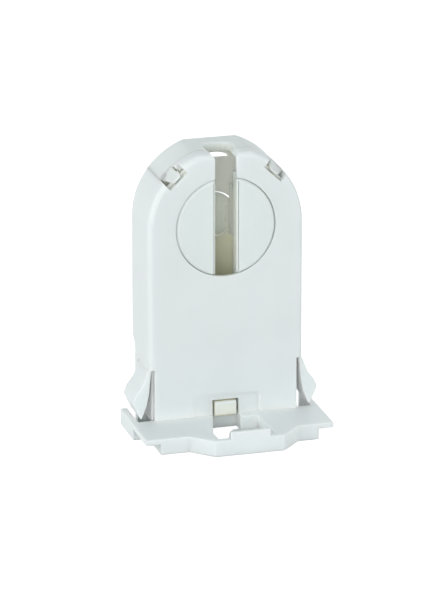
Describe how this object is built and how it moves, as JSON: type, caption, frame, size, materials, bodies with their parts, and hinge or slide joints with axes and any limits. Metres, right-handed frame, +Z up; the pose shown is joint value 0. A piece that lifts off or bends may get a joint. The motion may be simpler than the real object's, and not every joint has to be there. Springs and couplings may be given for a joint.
{
  "type": "fluorescent tube lamp holder",
  "caption": "Upright rotary end holder for a two-pin tube lamp: arched white housing, slotted turning rotor, snap barbs and a flanged foot for a sheet-metal cut-out.",
  "frame": {"origin": "middle of the bounding box's underside, on the surface that the foot's skirt stands on", "axes": "+Z up from the foot to the arch, -Y out of the front face towards the lamp, +X to the right as seen from the lamp"},
  "size_m": [0.0328, 0.0228, 0.0488],
  "materials": {
    "housing_plastic": "moulded, satin white",
    "cover_plastic": "moulded, satin white",
    "rotor_plastic": "moulded, satin white",
    "contact_bronze": "bright spring strip"
  },
  "bodies": {
    "holder": {"front_housing": "housing_plastic", "back_cover": "cover_plastic", "contact_left": "contact_bronze", "contact_right": "contact_bronze"},
    "rotor": {"rotor": "rotor_plastic"}
  },
  "joints": [
    {"name": "rotor_turn", "type": "hinge", "parent": "holder", "child": "rotor", "pos_m": [0, 0.00075, 0.0361], "axis": [0, -1, 0], "range_deg": [-90, 90]}
  ]
}
